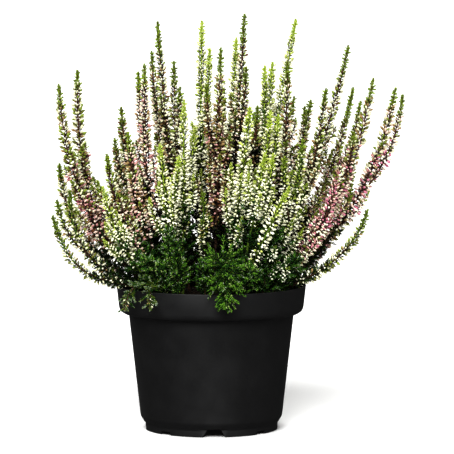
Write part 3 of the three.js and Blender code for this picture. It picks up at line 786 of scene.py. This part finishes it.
for number, stem in enumerate(floweringStems, 1):
    draw = np.random.default_rng(1000 + number)
    family = families[stem["family"]]
    place = placeOf(stem)
    heap = []
    main = stemLine((*stem["root"], spike["stemBase"]), stem["tip"], stem["bow"], stem.get("sag", 0))
    bare = stem.get("leafy", spike["bare"]) * main["length"]
    fullness = stem.get("full", 1.0)
    thinning = stem.get("thin", spike["thinning"])
    dressSpike(
        heap, main, draw, family, bare, stem["green"], spike["stalk"], fullness, spike["rootDepth"], thinning
    )
    leaning = darkHeart["high"] - darkHeart["lossByLean"] * abs(stem["tip"][0])
    high = stem.get("heart", max(darkHeart["least"], leaning))
    dressLowerStem(heap, main, draw, bare, place, high, stem.get("cover", darkHeart["cover"]))
    count = stem.get("shoots", sideSpikes[place]["count"])
    addFlowerShoots(heap, main, draw, family, bare, stem["green"], count, sideSpikes[place]["lean"])
    if "side" in stem:
        middle = onLine(main, np.array([main["length"] / 2]))[0][0]
        branch = stemLine(middle, np.array(stem["tip"]) + stem["side"], branchForm["bow"])
        bare, green = branchForm["bare"] * branch["length"], branchForm["green"] * branch["length"]
        stalk, fullness = branchForm["stalk"], branchForm["fullness"]
        dressSpike(heap, branch, draw, family, bare, green, stalk, fullness, 0, spike["thinning"])
    piece = meshOf(f"heather_stem_{number:02d}", heap)
    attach(piece, "root")
    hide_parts(f"flowering_stem_{number:02d}")
print("flowering stems dressed:", len(floweringStems))


# Leafy shoots.
def shootAt(root, tip, over, width, mix, **more):
    # over is the height that it rises to before it bends, and mix names its tones
    return {"root": root, "tip": tip, "over": over, "width": width, "mix": mix, **more}


leafyShoots = [
    shootAt((6, -43), (9, -69, 84), 118, 7.8, "bright", swell=1.35),
    shootAt((19, -46), (25, -58, 108), 99, 6.3, "middle"),
    shootAt((-4, -42), (-6, -53, 112), 100, 3.4, "dark"),
    shootAt((-20, -38), (-26, -49, 131), 104, 5.2, "middle"),
    shootAt((-28, -36), (-41, -49, 114), 103, 6, "middle"),
    shootAt((32, -34), (40, -44, 130), 104, 6, "dark", spikes=3),
    shootAt((39, -25), (53, -33, 112), 100, 6, "dark", spikes=3),
    shootAt((28, 39), (34, 51, 117), 100, 5.2, "dark"),
    shootAt((1, 46), (1, 58, 114), 100, 6, "middle"),
    shootAt((-29, 35), (-38, 46, 120), 100, 6, "dark"),
    shootAt((44, -8), (57, -12, 103), 98, 3, "middle"),
]

plumeForm = {
    "twigsPerMillimetre": 1.6, "reachPerWidth": 1.85, "tilt": (66, 34), "leafScale": 1.4,
    "stalk": (1.0, 0.4), "barkTurns": 100, "ends": 2, "spikeLean": (0.3, 0.6), "longestSpike": 17,
    "bare": 9, "green": 6, "handles": (0.05, 0.85),
}


def shootLine(root, tip, over, handles):
    # it rises to a height over the peat and bends out to its tip; its second handle stands 3 above the
    # first, or 8 below a high tip
    base = np.array([*root, spike["stemBase"]])
    tip = np.array(tip, float)
    first, second = base + (tip - base) * handles[0], base + (tip - base) * handles[1]
    first[2], second[2] = over, max(over, tip[2] - 11) + 3
    return bezierLine(base, first, second, tip)


for number, shoot in enumerate(leafyShoots, 1):
    draw = np.random.default_rng(2000 + number)
    line = shootLine(shoot["root"], shoot["tip"], shoot["over"], plumeForm["handles"])
    mix = growth[shoot["mix"]]
    heap = []
    length = line["length"]
    addTube(heap, line, plumeForm["stalk"], spike["rootDepth"], "wood", "greenBark", plumeForm["barkTurns"])
    addLeaves(heap, line, draw, plumeForm["ends"], length - spike["lastLeaf"], "plume", mix[1])
    count = int(length * plumeForm["twigsPerMillimetre"])
    reach = shoot["width"] * plumeForm["reachPerWidth"]
    scale, swell = plumeForm["leafScale"], shoot.get("swell", 1.0)
    start, end = plumeForm["ends"], length - plumeForm["ends"]
    addTwigs(heap, line, draw, start, end, count, reach, mix, plumeForm["tilt"], scale, swell)
    count, lean, longest = shoot.get("spikes", 0), plumeForm["spikeLean"], plumeForm["longestSpike"]
    bare, green = plumeForm["bare"], plumeForm["green"]
    addFlowerShoots(heap, line, draw, families["white"], bare, green, count, lean, longest)
    piece = meshOf(f"leafy_plume_{number:02d}", heap)
    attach(piece, "root")
    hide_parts(f"leafy_shoot_{number:02d}")

# The trailing sprig hangs over the rim in two arms, with a few buds.
trailingSprig = {
    "root": (-35, -31), "over": 98, "tips": [(-54, -48, 80), (-38, -60, 82)],
    "handles": (0.15, 0.85), "stalk": (0.8, 0.3), "barkTurns": 95, "firstLeaf": 6, "lastLeaf": 0.2,
    "twigs": 22, "firstTwig": 8, "twigReach": 8, "tilt": (58, 40), "ends": 1,
    "budsFrom": 0.8, "fullness": 0.62, "budStalk": 0.5, "thinning": 0.4,
}
draw = np.random.default_rng(3000)
heap = []
sprig, mix = trailingSprig, growth["grey"]
for tip in sprig["tips"]:
    line = shootLine(sprig["root"], tip, sprig["over"], sprig["handles"])
    length = line["length"]
    firstTwig, end = sprig["firstTwig"], length - sprig["ends"]
    addTube(heap, line, sprig["stalk"], spike["rootDepth"], "wood", "greenBark", sprig["barkTurns"])
    addLeaves(heap, line, draw, sprig["firstLeaf"], length - sprig["lastLeaf"], "sprig", mix[1])
    addTwigs(heap, line, draw, firstTwig, end, sprig["twigs"], sprig["twigReach"], mix, sprig["tilt"])
    fullness, stalk, thinning = sprig["fullness"], sprig["budStalk"], sprig["thinning"]
    addBuds(heap, line, draw, length * sprig["budsFrom"], end, families["sage"], fullness, stalk, thinning)
piece = meshOf("trailing_sprig_leaves", heap)
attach(piece, "root")
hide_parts("trailing_sprig")
print("leafy shoots and sprig dressed:", len(leafyShoots) + 1)


# Pot.
# Injection-moulded polypropylene, pigmented black: satin, with a broad soft highlight and faint marks.
potSize = {
    "sides": 128,
    "rimTop": 91.4, "rimRadius": 60.0, "rimLow": 77.2, "rimLowRadius": 58.4,
    "bodyTop": 73.6, "bodyTopRadius": 52.3, "bodyLow": 8.2, "bodyLowRadius": 44.9,
    "stepOut": (55.2, 73.8), "bandFoot": (57.5, 75.1), "stepIn": (55.8, 76),
    "bandInside": 77.8, "bodyInside": 75,
    "footRadius": 42.3, "footInside": 40.9, "footTop": 4, "plate": 3.5, "plateTop": 4.8, "pad": 8.0,
    "wall": 1.2, "wallLow": 0.1, "floorEdge": 2, "floorHole": 20,
    "colour": "#131314",
}


def turnedShape(name, profile, sides):
    # a circle drawn up, down, in and out through each point of the profile
    radius, height = profile[0]
    piece = startRing(sides, radius, height)
    for newRadius, newHeight in profile[1:]:
        bpy.ops.mesh.extrude_region_move(TRANSFORM_OT_translate={"value": (0, 0, (newHeight - height) * mm)})
        widen = newRadius / radius
        bpy.ops.transform.resize(value=(widen, widen, 1), center_override=(0, 0, newHeight * mm))
        radius, height = newRadius, newHeight
    endShape()
    piece.name = piece.data.name = name
    return piece


def roundedProfile(points, radii):
    # each corner cut by a few points of an arc
    done = [points[0]]
    for before, corner, after, radius in zip(points, points[1:], points[2:], radii):
        a, b, c = (Vector(point) for point in (before, corner, after))
        reach = min(radius, (a - b).length * 0.45, (c - b).length * 0.45)
        start, end = b + (a - b).normalized() * reach, b + (c - b).normalized() * reach
        for step in range(4):
            t = step / 3
            done.append(tuple(start * (1 - t) ** 2 + b * 2 * t * (1 - t) + end * t * t))
    return [*done, points[-1]]


def buildPot():
    # up the outside from the pad under the pot, over the rim and down the inside to the floor
    size = potSize
    wall, lowInside = size["wall"], size["bodyLowRadius"] - size["wall"] - size["wallLow"]
    outline = [
        (size["pad"], 0), (size["pad"], size["plate"]),
        (size["footInside"], size["plate"]), (size["footInside"], 0),
        (size["footRadius"], 0), (size["footRadius"], size["footTop"]),
        (size["bodyLowRadius"], size["bodyLow"]), (size["bodyTopRadius"], size["bodyTop"]),
        size["stepOut"], size["bandFoot"], (size["rimLowRadius"], size["rimLow"]),
        (size["rimRadius"], size["rimTop"]), (size["rimRadius"] - wall, size["rimTop"]),
        (size["rimLowRadius"] - wall, size["bandInside"]), size["stepIn"],
        (size["bodyTopRadius"] - wall, size["bodyInside"]), (lowInside, size["bodyLow"]),
        (size["bodyLowRadius"] - size["floorEdge"], size["plateTop"]), (size["floorHole"], size["plateTop"]),
    ]
    radii = [0.4, 0.4, 0.4, 0.5, 0.5, 1.2, 1.0, 0.5, 1.2, 1.2, 1.4, 0.55, 0.55, 1, 1, 1, 2, 1]
    return turnedShape("pot_shell", roundedProfile(outline, radii), size["sides"])


# Drain slots run in from the foot; each ends in a shallow pocket on the outside.
notches = {
    "turn": 2.3, "height": 4.9, "top": 8, "bottom": 14.4, "reach": 30, "outTo": 50, "below": 1, "past": 4,
    "pocketWide": 20, "pocketDeep": 0.7, "smallHigh": 2, "smallWide": 7.6,
}


def cutterBlock(low, high, widthLow, widthHigh, yNear, yFar, turn):
    # a block that is wider below than above, turned round the pot's axis
    clearSelection()
    bpy.ops.mesh.primitive_cube_add(size=1, location=(0, (yNear + yFar) / 2 * mm, (low + high) / 2 * mm))
    block = bpy.context.object
    block.scale = (widthLow * mm, abs(yFar - yNear) * mm, (high - low) * mm)
    bpy.ops.object.transform_apply(location=True, rotation=True, scale=True)
    for point in block.data.vertices:
        if point.co.z > (low + high) / 2 * mm:
            point.co.x *= widthHigh / widthLow
    block.rotation_euler.z = turn
    bpy.ops.object.transform_apply(location=False, rotation=True, scale=False)
    return block


def cutWith(piece, cutters):
    clearSelection()
    for cutter in cutters:
        cutter.select_set(True)
    bpy.context.view_layer.objects.active = cutters[0]
    bpy.ops.object.join()
    tool = bpy.context.object
    selectOnly(piece)
    cut = piece.modifiers.new("cut", "BOOLEAN")
    cut.operation, cut.solver, cut.object = "DIFFERENCE", "EXACT", tool
    bpy.ops.object.modifier_apply(modifier="cut")
    bpy.data.objects.remove(tool)


pot = buildPot()


def cutAllRound(high, widthLow, widthHigh, near, far, turnedOn=0.0):
    # the same cut at each quarter of the foot
    low = -notches["below"]
    turns = [math.radians(notches["turn"] + 90 * quarter) + turnedOn for quarter in range(4)]
    cutWith(pot, [cutterBlock(low, high, widthLow, widthHigh, near, far, turn) for turn in turns])


foot, height = potSize["footRadius"], notches["height"]
widthUnder = notches["bottom"] + (notches["bottom"] - notches["top"]) / height * notches["below"]
pocketWide, smallWide = notches["pocketWide"], notches["smallWide"]
inside, outside = -foot + notches["past"], -foot - notches["past"]
cutAllRound(height, widthUnder, notches["top"], -notches["reach"], -notches["outTo"])
cutAllRound(height, pocketWide, pocketWide, -foot + notches["pocketDeep"], outside)
cutAllRound(notches["smallHigh"], smallWide, smallWide, inside, outside, math.pi / 4)
selectOnly(pot)
bpy.ops.object.shade_smooth_by_angle(angle=math.radians(32))

potFinish = newFinish("mouldedPolypropylene", potSize["colour"], roughness=0.5, specular=1.0)
tree = potFinish.node_tree
where = addNode(tree, "ShaderNodeTexCoord")
# the faint marks of handling are about 14 millimetres across
smudge = addNode(
    tree, "ShaderNodeTexNoise", {"Scale": 1 / (14 * mm), "Detail": 3.0}, {"Vector": where.outputs["Object"]}
)
marks = addNode(
    tree, "ShaderNodeMapRange", {"From Min": 0.35, "From Max": 0.7, "To Min": 0.48, "To Max": 0.6},
    {"Value": smudge.outputs["Fac"]},
)
tree.links.new(marks.outputs["Result"], tree.nodes["Principled BSDF"].inputs["Roughness"])
pot.data.materials.clear()
pot.data.materials.append(potFinish)
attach(pot, "root")
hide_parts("pot")
print("pot moulded")


# Peat.
# Dark fibrous peat, dull and crumbly: a rough top under loose crumbs.
peatSize = {
    "sides": 96, "heights": ([0, 40, 57.2], [87.0, 85.2, 83.0]),
    "side": [(40.9, 5.3), (42.6, 12), (49.4, 74), (54.6, 77), (56.6, 79.2), (57.0, 82.4)],
    "topRings": [56.9, 54, 50, 46, 42, 37, 32, 27, 22, 17, 12, 7, 3],
    "roughFrom": 82, "rough": 0.55, "lumps": 0.22, "crumbs": 420, "crumbsWithin": 55.5, "crumbSink": 0.1,
    "crumbSizes": (0.5, 1.3), "crumbShapes": (0.6, 1.2), "colour": "#2A1E16", "light": "#4A3828",
}


def peatHeight(radius):
    return np.interp(radius, *peatSize["heights"])


peatTop = [(radius, float(peatHeight(radius))) for radius in peatSize["topRings"]]
peat = turnedShape("peat_plug", [*peatSize["side"], *peatTop], peatSize["sides"])
for point in peat.data.vertices:
    place = point.co / mm
    if place.z > peatSize["roughFrom"]:
        lift = noise.fractal(place * peatSize["lumps"], 0.9, 2.2, 4)
        point.co.z += peatSize["rough"] * lift * mm
heap = []
clearSelection()
bpy.ops.mesh.primitive_ico_sphere_add(subdivisions=1, radius=mm)
bpy.ops.object.mode_set(mode="EDIT")
bpy.ops.transform.vertex_random(offset=0.3 * mm, seed=4)
bpy.ops.object.mode_set(mode="OBJECT")
crumbShape = takeShape(bpy.context.object, lambda middle: 0)
draw = np.random.default_rng(4000)
count = peatSize["crumbs"]
radius = peatSize["crumbsWithin"] * np.sqrt(draw.random(count))
turn = draw.uniform(0, 2 * math.pi, count)
level = peatHeight(radius) - peatSize["crumbSink"]
places = np.stack([radius * np.cos(turn), radius * np.sin(turn), level], 1)
ways = unit(draw.normal(size=(count, 3)))
flats = unit(np.cross(ways, unit(draw.normal(size=(count, 3)))))
crumbSizes = draw.uniform(*peatSize["crumbSizes"], (count, 1))
crumbSizes = crumbSizes * draw.uniform(*peatSize["crumbShapes"], (count, 3))
plainFinish("peatCrumb", peatSize["colour"], 0.95, 0.2)
plainFinish("paleCrumb", peatSize["light"], 0.95, 0.2)
crumbTones = drawTones(draw, {"peatCrumb": 4, "paleCrumb": 1}, count)
scatter(heap, crumbShape, places, ways, flats, crumbSizes, crumbTones[:, None])
crumbs = meshOf("peat_crumbs", heap)
peat.data.materials.append(tones["peatCrumb"][1])
for piece in (peat, crumbs):
    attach(piece, "root")
    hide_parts("peat")
print("peat filled")


# Floor, light and camera.
# A broad key from the front and a weaker one from behind, over a white floor. Here lengths are in metres
# and turns in degrees.
studio = {
    "floor": "#F6F6F5", "floorWide": 120, "floorDrop": 0.0002, "world": 0.08, "exposure": 0.38, "gamma": 0.74,
    "key": {"strength": 3.9, "soft": 40, "tilt": 50, "turn": -7},
    "back": {"strength": 2.1, "soft": 70, "tilt": -50, "turn": 14},
    "camera": (0, -2.103, 0.3178), "pitch": 5.16, "aim": 0.2705, "lens": 264.7,
}
clearSelection()
bpy.ops.mesh.primitive_plane_add(size=studio["floorWide"], location=(0, 0, -studio["floorDrop"]))
floor = bpy.context.object
floor.name = "studio_floor"
floor.data.materials.append(newFinish("mattPaper", studio["floor"], roughness=0.9, specular=0.1))
floor.visible_glossy = False  # the black pot would mirror it all round

scene = bpy.context.scene
scene.world = scene.world or bpy.data.worlds.new("studio")
scene.world.use_nodes = True
background = scene.world.node_tree.nodes["Background"]
background.inputs["Color"].default_value = (1, 1, 1, 1)
tree = scene.world.node_tree
ray = addNode(tree, "ShaderNodeLightPath")
# white to the eye past the floor's edge, and dim as a light
strength = addNode(
    tree, "ShaderNodeMapRange", {"To Min": studio["world"], "To Max": 1.0},
    {"Value": ray.outputs["Is Camera Ray"]},
)
tree.links.new(strength.outputs["Result"], background.inputs["Strength"])

for name in ("key", "back"):
    bpy.ops.object.light_add(type="SUN", location=(0, 0, 2))
    lamp = bpy.context.object
    lamp.name = f"soft_{name}"
    lamp.data.energy = studio[name]["strength"]
    lamp.data.angle = math.radians(studio[name]["soft"])
    lamp.rotation_euler = (math.radians(studio[name]["tilt"]), 0, math.radians(studio[name]["turn"]))

bpy.ops.object.camera_add(location=studio["camera"])
camera = bpy.context.object
camera.rotation_euler = (math.radians(90 - studio["pitch"]), 0, math.radians(-studio["aim"]))
camera.data.lens = studio["lens"]
camera.data.sensor_width = 36
camera.data.clip_start, camera.data.clip_end = 0.05, 300
scene.camera = camera
scene.view_settings.view_transform = "Standard"
scene.view_settings.exposure = studio["exposure"]
scene.view_settings.gamma = studio["gamma"]
print("studio set")
